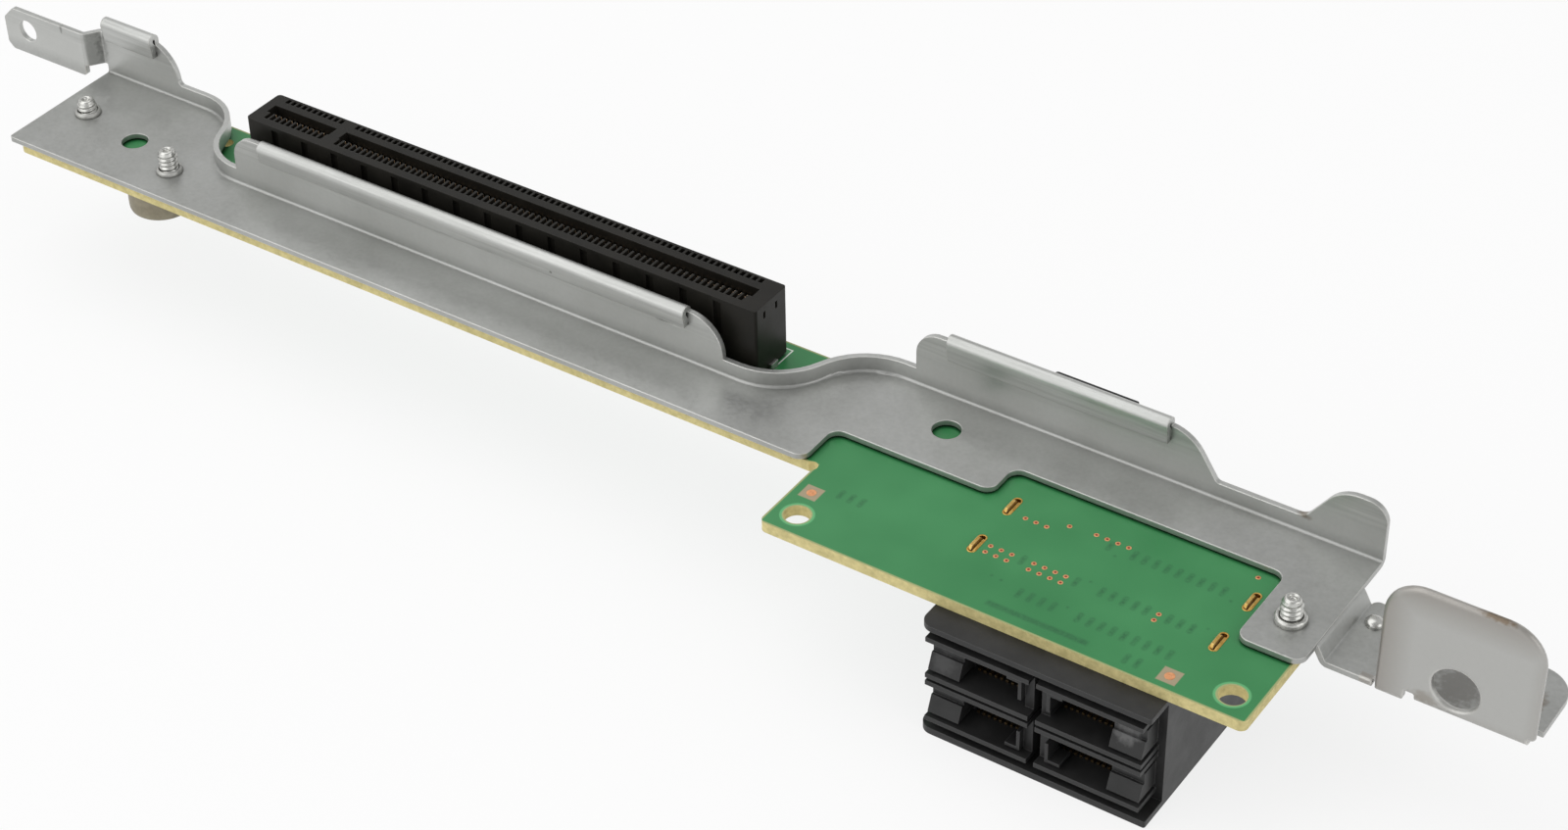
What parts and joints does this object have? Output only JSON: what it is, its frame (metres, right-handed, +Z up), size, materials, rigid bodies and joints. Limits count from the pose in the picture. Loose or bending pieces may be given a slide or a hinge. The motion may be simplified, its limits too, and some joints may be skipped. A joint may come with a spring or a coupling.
{
  "type": "pcie riser card",
  "caption": "Riser card: green board with a long card slot and a block of cable ports, carried by a folded sheet-steel bracket with a bent-up pull ear",
  "frame": {"origin": "centre of the screw hole in the bracket's left tab, on the tab's front face", "axes": "+X along the card towards the pull ear, +Y from the cable ports towards the bracket's back wall, +Z up from the board to the card slot"},
  "size_m": [0.2614, 0.0404, 0.0349],
  "materials": {
    "zinc_steel": "mottled zinc plating, satin",
    "green_board": "glossy green solder mask, tan cut edge",
    "slot_plastic": "black moulded, satin",
    "port_plastic": "black moulded, satin",
    "gold_contact": "gold plated",
    "tinned_metal": "tinned, dull",
    "screw_steel": "bright zinc",
    "nut_steel": "bright zinc",
    "foot_metal": "turned, dull tan grey",
    "pad_rubber": "black, matte"
  },
  "bodies": {
    "root": {"mounting_bracket": "zinc_steel", "circuit_board": "green_board", "slot_housing": "slot_plastic", "slot_contacts_front": "gold_contact", "slot_contacts_rear": "gold_contact", "slot_solder_tabs": "tinned_metal", "port_housing": "port_plastic", "port_contacts_upper": "gold_contact", "port_contacts_lower": "gold_contact", "port_board_locks": "tinned_metal", "slot_platings": "gold_contact", "short_screw": "screw_steel", "long_screws": "screw_steel", "clinch_nuts": "nut_steel", "support_foot": "foot_metal", "locating_stud": "screw_steel", "rear_pad": "pad_rubber"}
  },
  "joints": []
}
